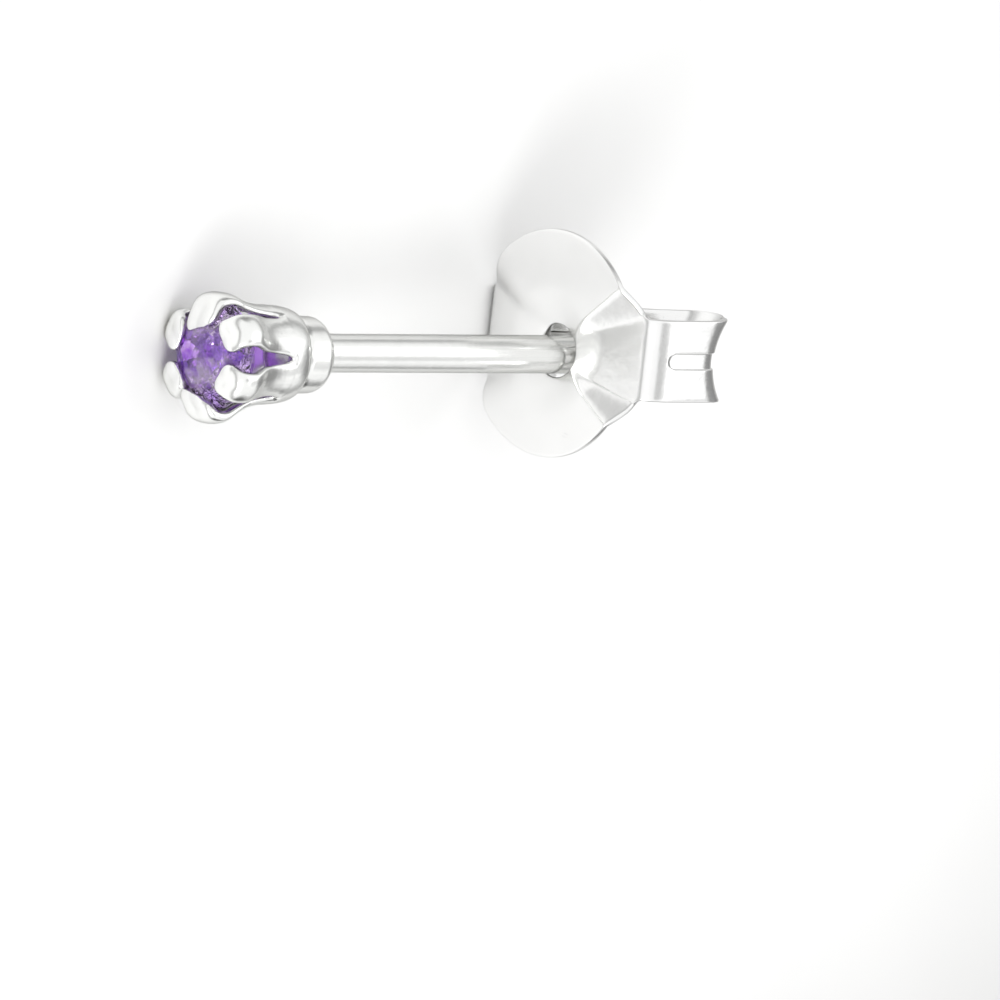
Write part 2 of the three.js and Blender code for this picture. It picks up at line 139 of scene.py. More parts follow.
def smoothstep(start, end, value):
    t = np.clip((value - start) / (end - start), 0, 1)
    return t * t * (3 - 2 * t)


def curve_points(points, t):
    """Points of an open centripetal Catmull-Rom curve, t from 0 to 1."""
    points = np.asarray(points, float)
    last = len(points) - 1
    padded = np.vstack([2 * points[0] - points[1], points, 2 * points[-1] - points[-2]])
    place = np.clip(np.asarray(t, float) * last, 0, last)
    index = np.minimum(place.astype(int), last - 1)
    w = (place - index)[..., None]
    p0, p1, p2, p3 = (padded[index + k] for k in range(4))
    d0, d1, d2 = (np.sqrt(np.linalg.norm(b - a, axis=-1, keepdims=True))
                  for a, b in ((p0, p1), (p1, p2), (p2, p3)))
    t1 = ((p1 - p0) / d0 - (p2 - p0) / (d0 + d1) + (p2 - p1) / d1) * d1
    t2 = ((p2 - p1) / d1 - (p3 - p1) / (d1 + d2) + (p3 - p2) / d2) * d1
    return (p1 + t1 * w + (3 * (p2 - p1) - 2 * t1 - t2) * w ** 2
            + (2 * (p1 - p2) + t1 + t2) * w ** 3)


def unit_tangents(line):
    along = np.gradient(line, axis=0)
    return along / np.linalg.norm(along, axis=1, keepdims=True)


def object_of(name, points, faces):
    mesh = bpy.data.meshes.new(name)
    mesh.from_pydata(np.asarray(points, float).tolist(), [], [list(map(int, f)) for f in faces])
    mesh.update()
    obj = bpy.data.objects.new(name, mesh)
    bpy.context.scene.collection.objects.link(obj)
    return obj


def apply_modifiers(obj):
    graph = bpy.context.evaluated_depsgraph_get()
    mesh = bpy.data.meshes.new_from_object(obj.evaluated_get(graph))
    obj.modifiers.clear()
    obj.data = mesh


def vertices_of(obj):
    points = np.zeros(len(obj.data.vertices) * 3)
    obj.data.vertices.foreach_get("co", points)
    return points.reshape(-1, 3)


def lay_down(obj, body, material, node, smooth=True):
    """From millimetres in the post's frame to metres in the row frame, riding on a body."""
    points = to_row(vertices_of(obj))
    obj.data.vertices.foreach_set("co", points.ravel())
    obj.data.polygons.foreach_set("use_smooth", [smooth] * len(obj.data.polygons))
    obj.data.update()
    obj.data.materials.clear()
    obj.data.materials.append(material)
    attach(obj, body)
    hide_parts(node)


def tube(rings):
    """A closed tube through rings of points, with a fan over each end."""
    rings = np.asarray(rings)
    steps, sides = rings.shape[:2]
    points = rings.reshape(-1, 3).tolist()
    faces = []
    for i in range(steps - 1):
        for j in range(sides):
            a, b = i * sides + j, i * sides + (j + 1) % sides
            faces.append((a, b, b + sides, a + sides))
    for ring, start, flip in ((rings[0], 0, True), (rings[-1], (steps - 1) * sides, False)):
        points.append(ring.mean(axis=0).tolist())
        hub = len(points) - 1
        for j in range(sides):
            a, b = start + j, start + (j + 1) % sides
            faces.append((hub, b, a) if flip else (hub, a, b))
    return np.array(points), faces


def turned(profile, sides):
    """A closed profile of (distance back, radius), its ends on the axis, turned round it."""
    angles = np.arange(sides) / sides * 2 * math.pi
    rings = [np.stack([np.full(sides, x), r * np.sin(angles), r * np.cos(angles)], axis=1)
             for x, r in profile if r > 0]
    points, faces = tube(rings)
    first_hub, last_hub = -2, -1
    points[first_hub][0] = profile[0][0]
    points[last_hub][0] = profile[-1][0]
    return points, faces


def joined(parts):
    points, faces, start = [], [], 0
    for part_points, part_faces in parts:
        points.append(part_points)
        faces += [tuple(start + i for i in face) for face in part_faces]
        start += len(part_points)
    return np.vstack(points), faces


# Shader nodes

def node_maker(tree):
    tree.nodes.clear()

    def make(kind, inputs=None, **settings):
        node = tree.nodes.new(kind)
        for key, value in settings.items():
            setattr(node, key, value)
        for key, value in (inputs or {}).items():
            if isinstance(value, bpy.types.NodeSocket):
                tree.links.new(value, node.inputs[key])
            else:
                node.inputs[key].default_value = value
        return node

    return make


def new_material(name):
    material = bpy.data.materials.new(name)
    material.use_nodes = True
    return material, node_maker(material.node_tree)


def ramp_of(make, factor, stops):
    node = make("ShaderNodeValToRGB", {"Fac": factor})
    while len(node.color_ramp.elements) < len(stops):
        node.color_ramp.elements.new(0.5)
    for element, (place, colour) in zip(node.color_ramp.elements, stops):
        element.position = place
        element.color = (*colour, 1)
    return node.outputs["Color"]


def ranged(make, value, start, end, low=0.0, high=1.0, kind="LINEAR"):
    """Low where the value is at start, high where it is at end, and held beyond them."""
    node = make("ShaderNodeMapRange", {
        "Value": value, "From Min": start, "From Max": end, "To Min": low, "To Max": high},
        interpolation_type=kind)
    return node.outputs["Result"]


def mixed(make, factor, first, second):
    """The first colour where the factor is 0 and the second where it is 1."""
    node = make("ShaderNodeMix", {"Factor": factor, "A": first, "B": second}, data_type="RGBA")
    return node.outputs[2]


def noise(make, place, scale, detail, **more):
    node = make("ShaderNodeTexNoise", {"Vector": place, "Scale": scale, "Detail": detail, **more})
    return node.outputs["Fac"]


def in_millimetres(make):
    place = make("ShaderNodeTexCoord").outputs["Object"]
    return make("ShaderNodeMapping", {"Vector": place, "Scale": (1 / MM,) * 3}).outputs["Vector"]


# Silver. Texture scales are per millimetre, heights and reaches are in millimetres.
SILVER_ROUGHNESS = 0.2
GLOSS_LEAST, GLOSS_MOST = 0.8, 1.3  # times the roughness, between the polishing lines
EDGE_TINT = (0.5, 0.5, 0.495, 1)
NOISE_LOW, NOISE_HIGH = 0.3, 0.7
BLOOM_SCALE = 0.9
BLOOM_DIMMING = 0.965
LINE_SCALE = 2.0
LINE_STRETCH = (1.2, 22, 22)
LINE_STRENGTH = 0.4
PEBBLE_SCALE = 3.2
PEBBLE_HEIGHT, PEBBLE_STRENGTH = 0.012, 0.5
# Painted shade: how sunk a crevice and how shut in a recess must be to take the hollow tone
CREVICE_SHADE_FULL, CREVICE_SHADE_NONE = 0.41, 0.485  # of the pointiness, which is 0.5 on a flat face
RECESS_REACH = 0.5
RECESS_SAMPLES = 6
RECESS_SHADE_FULL, RECESS_SHADE_NONE = 0.1, 0.55  # share of the open sky within that reach


def silver(name, tone, hollow, line_angle, line_height):
    """Polished silver: a faint bloom, fine polishing lines and painted shade darkening its hollows."""
    material, make = new_material(name)
    place = in_millimetres(make)
    bloom = noise(make, place, BLOOM_SCALE, detail=3.0)
    dimmed = tuple(channel * BLOOM_DIMMING for channel in tone)
    base = ramp_of(make, bloom, [(NOISE_LOW, dimmed), (NOISE_HIGH, tone)])
    lines_place = make("ShaderNodeMapping", {
        "Vector": place, "Rotation": (0, line_angle, 0), "Scale": LINE_STRETCH}).outputs["Vector"]
    lines = noise(make, lines_place, LINE_SCALE, detail=4.0)
    pebble = noise(make, place, PEBBLE_SCALE, detail=2.0)

    # Painted shade: the hollow tone darkens crevices, found by pointiness, and recesses that see little
    # open sky
    point = make("ShaderNodeNewGeometry").outputs["Pointiness"]
    crevice_shade = ramp_of(make, point, [(CREVICE_SHADE_FULL, (1, 1, 1)), (CREVICE_SHADE_NONE, (0, 0, 0))])
    open_share = make("ShaderNodeAmbientOcclusion", {"Distance": RECESS_REACH * MM}, samples=RECESS_SAMPLES)
    recess_shade = ranged(make, open_share.outputs["AO"], RECESS_SHADE_FULL, RECESS_SHADE_NONE, 1.0, 0.0, "SMOOTHSTEP")
    sunk = make("ShaderNodeMath", {0: crevice_shade, 1: recess_shade}, operation="MAXIMUM").outputs["Value"]
    colour = mixed(make, sunk, base, (*hollow, 1))

    gloss = ranged(make, lines, NOISE_LOW, NOISE_HIGH,
                   SILVER_ROUGHNESS * GLOSS_LEAST, SILVER_ROUGHNESS * GLOSS_MOST)
    soft = make("ShaderNodeBump", {
        "Height": pebble, "Strength": PEBBLE_STRENGTH, "Distance": PEBBLE_HEIGHT * MM})
    fine = make("ShaderNodeBump", {
        "Height": lines, "Normal": soft.outputs["Normal"],
        "Strength": LINE_STRENGTH, "Distance": line_height * MM})
    shader = make("ShaderNodeBsdfPrincipled", {
        "Base Color": colour, "Metallic": 1.0, "Roughness": gloss,
        "Normal": fine.outputs["Normal"], "Specular Tint": EDGE_TINT})
    make("ShaderNodeOutputMaterial", {"Surface": shader.outputs["BSDF"]})
    return material


# Purple quartz. Texture scales are per millimetre.
QUARTZ_IOR = 1.544
ZONE_SCALE, ZONE_DISTORTION = 2.2, 0.6
# Within each ramp the noise zones are the quartz's own uneven colour; the deep ramp in the pavilion is
# painted shade
PALE_ZONES = [(0.38, (0.6, 0.37, 1.0)), (0.49, (0.74, 0.52, 1.0)), (0.6, (0.92, 0.8, 1.0))]
DEEP_ZONES = [(0.36, (0.15, 0.012, 0.48)), (0.64, (0.44, 0.17, 0.88))]
PAVILION_SHADE_FULL = 0.25  # share of the pavilion where the deep colour is full
CLOUD_SHARE = 0.25  # share of light that the palest zones of the table scatter
CLOUD_NONE, CLOUD_FULL = 0.3, 0.6
CLOUD_DEPTH = 2 / 3  # share of the crown's height over which the clouds die away
VEIL_SCALE = 5.0
VEIL_NONE, VEIL_FULL = 0.45, 0.7
POLISH_ROUGHNESS, VEIL_ROUGHNESS = 0.02, 0.12
RIPPLE_SCALE = 2.6
RIPPLE_HEIGHT, RIPPLE_STRENGTH = 0.14, 0.8


def purple_stone():
    """Clear purple quartz with paler and deeper zones and a few fine veils. Its colour deepens towards the
    pavilion as painted shade.
    """
    material, make = new_material("purple_quartz")
    place = in_millimetres(make)
    zones = noise(make, place, ZONE_SCALE, detail=2.5, Distortion=ZONE_DISTORTION)
    along = make("ShaderNodeVectorMath", {0: place, 1: tuple(slide_axis)}, operation="DOT_PRODUCT")
    along = along.outputs["Value"]
    # Painted shade: from the girdle down into the pavilion the pale colours give way to the deep ones
    girdle = slide_axis.dot(origin) / MM - GIRDLE_AHEAD
    pavilion_shade_full_at = girdle + STONE_PAVILION * PAVILION_SHADE_FULL
    depth = ranged(make, along, girdle - STONE_GIRDLE, pavilion_shade_full_at, kind="SMOOTHSTEP")
    colour = mixed(make, depth, ramp_of(make, zones, PALE_ZONES), ramp_of(make, zones, DEEP_ZONES))

    table_at = girdle - STONE_CROWN
    cloud = ranged(make, zones, CLOUD_NONE, CLOUD_FULL, high=CLOUD_SHARE)
    cloud = ranged(make, along, table_at, table_at + STONE_CROWN * CLOUD_DEPTH, low=cloud, high=0.0)
    clear = make("ShaderNodeMath", {0: 1.0, 1: cloud}, operation="SUBTRACT").outputs["Value"]

    veils = noise(make, place, VEIL_SCALE, detail=4.0)
    gloss = ranged(make, veils, VEIL_NONE, VEIL_FULL, POLISH_ROUGHNESS, VEIL_ROUGHNESS)
    ripple = noise(make, place, RIPPLE_SCALE, detail=1.5)
    worn = make("ShaderNodeBump", {
        "Height": ripple, "Strength": RIPPLE_STRENGTH, "Distance": RIPPLE_HEIGHT * MM})
    shader = make("ShaderNodeBsdfPrincipled", {
        "Base Color": colour, "Metallic": 0.0, "Roughness": gloss,
        "Normal": worn.outputs["Normal"], "IOR": QUARTZ_IOR, "Transmission Weight": clear})
    make("ShaderNodeOutputMaterial", {"Surface": shader.outputs["BSDF"]})
    return material


# The hollow tones are the colours of the painted shade in crevices and recesses
cast_silver = silver("cast_silver_polished", tone=(0.93, 0.935, 0.92), hollow=(0.34, 0.33, 0.28),
                     line_angle=0.12, line_height=0.001)
sheet_silver = silver("sheet_silver_polished", tone=(0.94, 0.94, 0.935), hollow=(0.42, 0.42, 0.41),
                      line_angle=1.2, line_height=0.0005)


# Post: a turned rod with a little solder where it meets the collar

POST_SIDES = 128
POST_TUCK = 0.3  # how far it goes on into the collar
TIP_ROUND = 0.2
ARC_STEPS = 9
ARC = np.linspace(0, math.pi / 2, ARC_STEPS)
# Columns: distance back from the collar, how far the solder stands out from the post
SOLDER = [(-0.02, 0.06), (0.01, 0.03), (0.022, 0.014), (0.045, 0.004), (0.08, 0.0)]


def post_form():
    tip = [(POST_LENGTH - TIP_ROUND * (1 - math.sin(a)), POST_RADIUS - TIP_ROUND * (1 - math.cos(a)))
           for a in ARC]
    solder = [(back, POST_RADIUS + out) for back, out in SOLDER]
    profile = [(-POST_TUCK, 0.0), (-POST_TUCK, POST_RADIUS)] + solder + tip + [(POST_LENGTH, 0.0)]
    return turned(profile, POST_SIDES)


post = object_of("post", *post_form())
lay_down(post, "stud", cast_silver, "setting_and_post")


# Cup and prongs: closed forms that overlap, joined with soft fillets as in a casting

CUP_SIDES = 128
BOWL_STEPS = 40
LEAST_RADIUS = 1e-9  # so that a point on the axis has no side and stays where it is
# Columns: share of the collar's length ahead, share of the groove's depth
BAND = [(0.86, 0.0), (0.96, 1 / 3), (1.0, 1.0)]
# Columns: share of the cup's rise ahead of the groove, share of its flare
BOWL = [(0.0, -0.2), (0.03, 0.0), (0.06, 0.14), (0.18, 0.5), (0.33, 0.71), (0.52, 0.85), (0.76, 0.95),
        (1, 1)]
# Columns: share of the hollow's depth up from its floor, share of its radius at the rim
HOLLOW = [(1.0, 1.0), (0.45, 0.9), (0.0, 0.55)]
HEAD_VOXEL = 0.026
PRONG_STEPS = 90
PRONG_SIDES = 48
SQUARENESS = 0.72
DISH = 0.42
DISH_WIDTH, DISH_EDGE = 0.8, 1.2
TWIST_SHARE = 0.5
SHOULDER_TUCK = 0.85
# Shares of a prong's run, from its root to its tip, over which each of these comes or goes
DISH_COMES, DISH_GOES = (0.57, 0.7), (0.86, 0.95)
TWIST_COMES = (0.5, 0.8)
LEAN_COMES = (0.55, 1)

# Columns: angle, lean, shares of the pad's outer radius, length and width, and twist
PRONGS = {
    "top": (91, 20, 0.95, 1.12, 1.12, -6),
    "near_upper": (33, 0, 0.99, 0.94, 0.98, 5),
    "near_lower": (-27, 0, 0.99, 0.96, 0.98, -4),
    "bottom": (-86, -16, 1.05, 0.9, 1.14, 7),
    "far_lower": (-141, 0, 1.0, 0.96, 0.96, -5),
    "far_upper": (155, 9, 0.97, 0.98, 0.96, 4),
}


def slanted(points):
    """Slides each point along the post by its nearness to the groove and its place round it."""
    ahead = -points[:, 0]
    radius = np.maximum(np.hypot(points[:, 1], points[:, 2]), LEAST_RADIUS)
    share = np.where(ahead < COLLAR_LENGTH, ahead / COLLAR_LENGTH,
                     (CUP_HEIGHT - ahead) / (CUP_HEIGHT - COLLAR_LENGTH))
    moved = points.copy()
    moved[:, 0] = -ahead - COLLAR_SLANT * share * points[:, 2] / radius
    return moved


def cup():
    """The collar and the hollow cup as one turned form, with the groove between them."""
    rise, flare = CUP_HEIGHT - COLLAR_LENGTH, CUP_RADIUS - COLLAR_RADIUS
    depth, rim = CUP_HEIGHT - CUP_FLOOR, CUP_RADIUS - PRONG_WALL
    edge = [(-COLLAR_EDGE * (1 - math.sin(a)), COLLAR_RADIUS - COLLAR_EDGE * (1 - math.cos(a)))
            for a in ARC[::-1]]
    band = [(-COLLAR_LENGTH * ahead, COLLAR_RADIUS - COLLAR_GROOVE * sunk) for ahead, sunk in BAND]
    bowl = [(-COLLAR_LENGTH - up * rise, COLLAR_RADIUS + out * flare) for up, out in BOWL]
    bowl = curve_points(bowl, np.linspace(0, 1, BOWL_STEPS))[1:].tolist()
    hollow = [(-CUP_FLOOR - up * depth, rim * wide) for up, wide in HOLLOW]
    profile = [(0.0, 0.0)] + edge + band + bowl + hollow + [(-CUP_FLOOR, 0.0)]
    points, faces = turned(profile, CUP_SIDES)
    return slanted(points), [face[::-1] for face in faces]


def prong(angle, lean, outer, length, width, twist):
    """One prong, from its root in the cup's wall to the pad bent over the stone."""
    outer = PAD_OUTER_RADIUS * outer
    tip = outer - PAD_LENGTH * length
    pad, wall = PAD_THICKNESS / 2, PRONG_WALL / 2
    half = PAD_WIDTH * width / 2
    stem = CUP_RADIUS - wall
    shoulder = outer - SHOULDER_TUCK * pad
    climb, flare = PAD_AHEAD - CUP_HEIGHT, shoulder - stem
    sector = math.pi / len(PRONGS)

    def beside(radius, slot):
        return radius * sector - slot * SLOT_WIDTH / 2

    # Columns: ahead, radius, half thickness, half width
    stations = np.array([
        (CUP_HEIGHT - PRONG_ROOT, stem - PRONG_ROOT_TUCK, wall * 0.8, stem * sector),
        (CUP_HEIGHT, stem, wall, beside(stem, -0.1)),
        (CUP_HEIGHT + climb * 0.16, stem + flare * 0.04, wall, beside(stem, 0.6)),
        (CUP_HEIGHT + climb * 0.38, stem + flare * 0.2, wall * 1.1, beside(stem + flare * 0.2, 1)),
        (CUP_HEIGHT + climb * 0.57, stem + flare * 0.52, wall * 1.2, beside(stem + flare * 0.52, 1.3)),
        (CUP_HEIGHT + climb * 0.8, shoulder, pad * 0.8, half),
        (PAD_AHEAD - pad * 0.15, shoulder - pad * 0.35, pad * 0.95, half),
        (PAD_AHEAD + PAD_RISE * 0.4 + pad * 0.1, (shoulder + tip) / 2, pad, half * 1.02),
        (PAD_AHEAD + PAD_RISE * 0.8, tip + pad * 0.8, pad * 0.9, half * 0.92),
        (PAD_AHEAD + PAD_RISE - pad * 0.12, tip + pad * 0.25, pad * 0.6, half * 0.66),
        (PAD_AHEAD + PAD_RISE - pad * 0.2, tip, pad * 0.2, half * 0.25),
    ])
    t = np.linspace(0, 1, PRONG_STEPS)
    middle = curve_points(stations[:, :2], t)
    size = curve_points(stations[:, 2:], t)
    along = unit_tangents(middle)
    turn = np.arange(PRONG_SIDES) / PRONG_SIDES * 2 * math.pi
    c, s = np.cos(turn), np.sin(turn)
    dish = DISH * smoothstep(*DISH_COMES, t) * (1 - smoothstep(*DISH_GOES, t))
    from_side = 1 - np.abs(s) ** DISH_WIDTH
    sunk = np.where(c > 0, 1 - dish[:, None] * from_side ** DISH_EDGE, 1.0)
    thick = size[:, :1] * np.sign(c) * np.abs(c) ** SQUARENESS * sunk
    wide = size[:, 1:] * np.sign(s) * np.abs(s) ** SQUARENESS
    tilt = np.tan(math.radians(twist) * smoothstep(*TWIST_COMES, t))[:, None]
    thick = thick + TWIST_SHARE * wide * tilt
    ahead = middle[:, :1] - along[:, 1:] * thick
    radius = middle[:, 1:] + along[:, :1] * thick
    place = np.radians(angle + lean * smoothstep(*LEAN_COMES, t))[:, None]
    around = place + wide / np.maximum(middle[:, 1:], STONE_RADIUS / 2)
    return tube(np.stack([-ahead, radius * np.sin(around), radius * np.cos(around)], axis=2))


MAINS = 8
TABLE_SHARE = 0.56
STAR_REACH = 0.52
HEEL_SHARE = 0.24


def stone_form(grow=0.0):
    """A round brilliant cut: table, 8 star, 8 kite and 16 upper girdle facets, a girdle of
    16 sides, 16 lower girdle and 8 main facets. Its skin can be grown outward."""
    radius = STONE_RADIUS + grow
    girdle, crown = STONE_GIRDLE + grow, STONE_CROWN + grow
    pavilion = STONE_PAVILION + grow
    table = STONE_RADIUS * TABLE_SHARE + grow
    star = table + (radius - table) * STAR_REACH
    heel = radius * HEEL_SHARE
    sides = 2 * MAINS
    half = math.pi / MAINS
    star_height = crown * (radius - star * math.cos(half)) / (radius - table)
    heel_depth = pavilion * (1 - heel * math.cos(half) / radius)
    points = []
    for count, turn, r, height in ((MAINS, 0, table, crown), (MAINS, half, star, star_height),
                                   (sides, 0, radius, 0), (sides, 0, radius, -girdle),
                                   (MAINS, half, heel, -girdle - heel_depth)):
        angles = np.arange(count) / count * 2 * math.pi + turn
        points += [(height, r * math.sin(a), r * math.cos(a)) for a in angles]
    points += [(crown, 0, 0), (-girdle - pavilion, 0, 0)]

    # Where each ring starts in the list of points
    top, kite, rim, base, low = 0, MAINS, sides, 2 * sides, 3 * sides
    middle, culet = low + MAINS, low + MAINS + 1
    faces = []
    for k in range(MAINS):
        after = (k + 1) % MAINS
        g0, g1, g2 = 2 * k, 2 * k + 1, (2 * k + 2) % sides
        faces += [(middle, top + k, top + after), (top + k, kite + k, top + after),
                  (top + k, rim + g0, kite + k), (top + after, kite + k, rim + g2),
                  (kite + k, rim + g0, rim + g1), (kite + k, rim + g1, rim + g2),
                  (base + g0, low + k, base + g1), (base + g1, low + k, base + g2),
                  (base + g0, culet, low + k), (base + g2, low + k, culet)]
        for a, b in ((g0, g1), (g1, g2)):
            faces += [(rim + a, base + a, rim + b), (rim + b, base + a, base + b)]
    points = np.array(points, float)
    points[:, 0] = -GIRDLE_AHEAD - points[:, 0]
    return points, faces


def stone_planes(grow):
    """Outward normals and distances of the stone's facets, its skin grown outward."""
    points, faces = stone_form(grow)
    normals, distances = [], []
    middle = points.mean(axis=0)
    for a, b, c in faces:
        normal = np.cross(points[b] - points[a], points[c] - points[a])
        normal /= np.linalg.norm(normal)
        if normal @ (points[a] - middle) < 0:
            normal = -normal
        normals.append(normal)
        distances.append(normal @ points[a])
    return np.array(normals), np.array(distances)


STONE_GAP = 0.02


def cleared(points):
    """Moves points that lie inside the stone out to just above its nearest facet."""
    normals, distances = stone_planes(STONE_GAP)
    depth = points @ normals.T - distances
    nearest = depth.argmax(axis=1)
    push = np.minimum(depth.max(axis=1), 0)
    return points - normals[nearest] * push[:, None]


head = object_of("setting", *joined([cup()] + [prong(*values) for values in PRONGS.values()]))
remesh = head.modifiers.new("casting", "REMESH")
remesh.mode = "VOXEL"
remesh.voxel_size = HEAD_VOXEL
soften = head.modifiers.new("polishing", "SMOOTH")
soften.factor = 0.5
soften.iterations = 5
apply_modifiers(head)
head_points = cleared(vertices_of(head)) - np.array([0, HEAD_DROP, 0])
head.data.vertices.foreach_set("co", head_points.ravel())
head.data.update()
lay_down(head, "stud", cast_silver, "setting_and_post")


# Stone, with the facet edges just broken so that they catch the light

FACET_EDGE = 0.006
SAME_PLANE = math.radians(0.6)

gem = object_of("gem", *stone_form())
shape = bmesh.new()
shape.from_mesh(gem.data)
bmesh.ops.recalc_face_normals(shape, faces=shape.faces)
bmesh.ops.dissolve_limit(shape, angle_limit=SAME_PLANE, verts=shape.verts, edges=shape.edges)
bmesh.ops.bevel(shape, geom=shape.edges[:], offset=FACET_EDGE, segments=1, affect="EDGES",
                clamp_overlap=True)
bmesh.ops.translate(shape, verts=shape.verts, vec=(0, -HEAD_DROP, 0))
shape.to_mesh(gem.data)
shape.free()
lay_down(gem, "stud", purple_stone(), "stone", smooth=False)


# Clutch: one stamped blank of sheet, its wings folded and rolled, its edges just broken

# Columns: share of the wing's length back, share of the way out from its seat on the post
WING_PATH = [
    (0.16, 0.816), (0.168, 0.85), (0.182, 0.887), (0.225, 0.94), (0.31, 0.98), (0.42, 0.996),
    (0.62, 1.0), (0.78, 0.985), (0.89, 0.93), (0.965, 0.82), (1.0, 0.67), (0.985, 0.5),
    (0.925, 0.35), (0.78, 0.225), (0.58, 0.115), (0.4, 0.02), (0.27, 0.0), (0.17, 0.035),
]
WING_SAMPLES = 4001
WAIST_FROM = 0.5  # share of the wing's length back where its waist begins
INNER_FROM = 0.5  # share of the wing's run where the scroll has turned back to the post
DIMPLE_CURVE = 1.5

wing_points = [(back * WING_LENGTH, WING_SEAT + out * (WING_REACH - WING_SEAT)) for back, out in WING_PATH]
wing_line = curve_points(wing_points, np.linspace(0, 1, WING_SAMPLES))
wing_steps = np.linalg.norm(np.diff(wing_line, axis=0), axis=1)
wing_lengths = np.concatenate([[0], np.cumsum(wing_steps)])
wing_run = wing_lengths[-1]
wing_along = unit_tangents(wing_line)
fold_back, fold_out = wing_points[0]
blank_end = fold_out + wing_run


def blank_edge(distance):
    """Half width of the blank at a distance from its middle: disc, fillet, then strip."""
    fillet_height = STRIP_HALF + STRIP_FILLET
    fillet_at = math.sqrt((DISC_RADIUS + STRIP_FILLET) ** 2 - fillet_height ** 2)
    tangent_at = fillet_at * DISC_RADIUS / (DISC_RADIUS + STRIP_FILLET)
    disc = np.sqrt(np.maximum(DISC_RADIUS ** 2 - distance ** 2, 0))
    fillet = fillet_height - np.sqrt(np.maximum(STRIP_FILLET ** 2 - (fillet_at - distance) ** 2, 0))
    return np.where(distance >= fillet_at, STRIP_HALF, np.where(distance > tangent_at, fillet, disc))


def soft_max(a, b, softness):
    """The larger of two values, with the corner between them rounded."""
    near = np.maximum(0, 1 - np.abs(a - b) / softness)
    return np.maximum(a, b) + softness * near ** 2 / 4


def disc_relief(out, up, wing):
    """How far the disc's face lies behind its front plane."""
    height = up + HOLE_DROP
    crease_height = np.where(height > 0, CREASE_UP + HOLE_DROP, CREASE_UP - HOLE_DROP)
    band = CREASE_SLOPE * (out - np.abs(height) * CREASE_OUT / crease_height)
    flap = FLAP_SLOPE * np.maximum(0, out - HOLE_RADIUS)
    turn = np.where(wing > 0, CREASE_TURN, FAR_CREASE_TURN)
    bent = soft_max(0, -soft_max(-band, -flap, CREASE_SOFTNESS), turn)
    dimple = np.maximum(0, 1 - np.hypot(out, height) / DIMPLE_RADIUS)
    return bent + DIMPLE_DEPTH * dimple ** DIMPLE_CURVE


def groove_front(up):
    """Where the groove begins, behind the front of the disc. Its end is a half circle."""
    half = GROOVE_WIDTH / 2
    inside = np.minimum(half, np.abs(up))
    return GROOVE_START + half - np.sqrt(half ** 2 - inside ** 2)


def folded(run, up):
    """A point of the blank's outer face: run is the signed distance along the strip from
    the post, and up is the place across it."""
    side = np.where(run < 0, -1.0, 1.0)
    distance = np.abs(run)
    flat = np.stack([disc_relief(distance, up, side), up, side * distance], axis=-1)
    length = np.clip(distance - fold_out, 0, wing_run)
    t = length / wing_run
    spot_x, spot_z = (np.interp(length, wing_lengths, wing_line[:, k]) for k in range(2))
    along_x, along_z = (np.interp(length, wing_lengths, wing_along[:, k]) for k in range(2))
    rear = smoothstep(WAIST_FROM * WING_LENGTH, WING_LENGTH, spot_x)
    across = np.minimum(1, np.abs(up) / STRIP_HALF)
    spot_x = spot_x - WAIST_DEPTH * rear * (1 - across ** 2)
    spot_x = spot_x + (1 - smoothstep(0, FOLD_BLEND, t)) * (disc_relief(fold_out, up, side) - fold_back)
    begun = smoothstep(-GROOVE_FADE, GROOVE_FADE, spot_x - groove_front(up))
    grooved = np.where(t > INNER_FROM, 1.0, begun)
    groove_half = GROOVE_WIDTH / 2
    in_groove = 1 - smoothstep(groove_half, groove_half * (1 + GROOVE_SHOULDER), np.abs(up))
    press = GROOVE_DEPTH * in_groove * grooved
    wing = np.stack([spot_x + along_z * press, up, side * (spot_z - along_x * press)], axis=-1)
    return np.where((distance <= fold_out)[..., None], flat, wing)


def outward(run, up):
    """The outward direction of the blank's outer face, measured over a small step."""
    step = 0.004
    a = folded(run + step, up) - folded(run - step, up)
    b = folded(run, up + step) - folded(run, up - step)
    normal = np.cross(a, b)
    return normal / np.linalg.norm(normal, axis=-1, keepdims=True)


EDGE_ROUND = 0.045
EDGE_STEPS = [0, 0.03, 0.12, 0.3, 0.6, 1]
EDGE_ROOM = 1.2  # even rows stop this many edge rounds short of the strip's end
DISC_STEPS = 34
LOBE_COLUMNS = 64
STRIP_STEPS = 230
# Places across the strip, as shares of its half width, close together at the groove's edge
STRIP_SHARES = [0.06, 0.12, 0.15, 0.165, 0.175, 0.185, 0.195, 0.205, 0.22, 0.26, 0.32, 0.4, 0.5,
                0.6, 0.7, 0.8, 0.88]


def strip_columns():
    """Places across the strip from its lower side to its upper, each as a share of its half
    width and, in the rounded edges where that share is 1, the distance in from the side."""
    rounds = [(1, step * EDGE_ROUND) for step in EDGE_STEPS]
    upper = [(share, 0.0) for share in STRIP_SHARES] + rounds[::-1]
    lower = [(-share, gap) for share, gap in upper[::-1]]
    return lower + [(0, 0.0)] + upper


def column_points(rim, tail, from_side):
    """One column of the blank, from the hole's edge out to a point at the rim and on along
    the tail, as (run, up, gap to the nearest edge). The rim's point is from_side off an edge."""
    start = np.array([0.0, -HOLE_DROP])
    ray = np.array(rim) - start
    length = np.linalg.norm(ray)
    ray /= length
    reach = length - HOLE_RADIUS
    rounds = np.array(EDGE_STEPS) * EDGE_ROUND
    inner = np.linspace(EDGE_ROUND, reach - EDGE_ROUND, DISC_STEPS + 2)[1:-1]
    along = np.concatenate([rounds, inner, reach - rounds[::-1]])
    places = start + ray * (HOLE_RADIUS + along)[:, None]
    gaps = np.minimum(along, np.hypot(reach - along, from_side))
    rows = np.column_stack([places, gaps])
    return np.vstack([rows, tail]) if len(tail) else rows


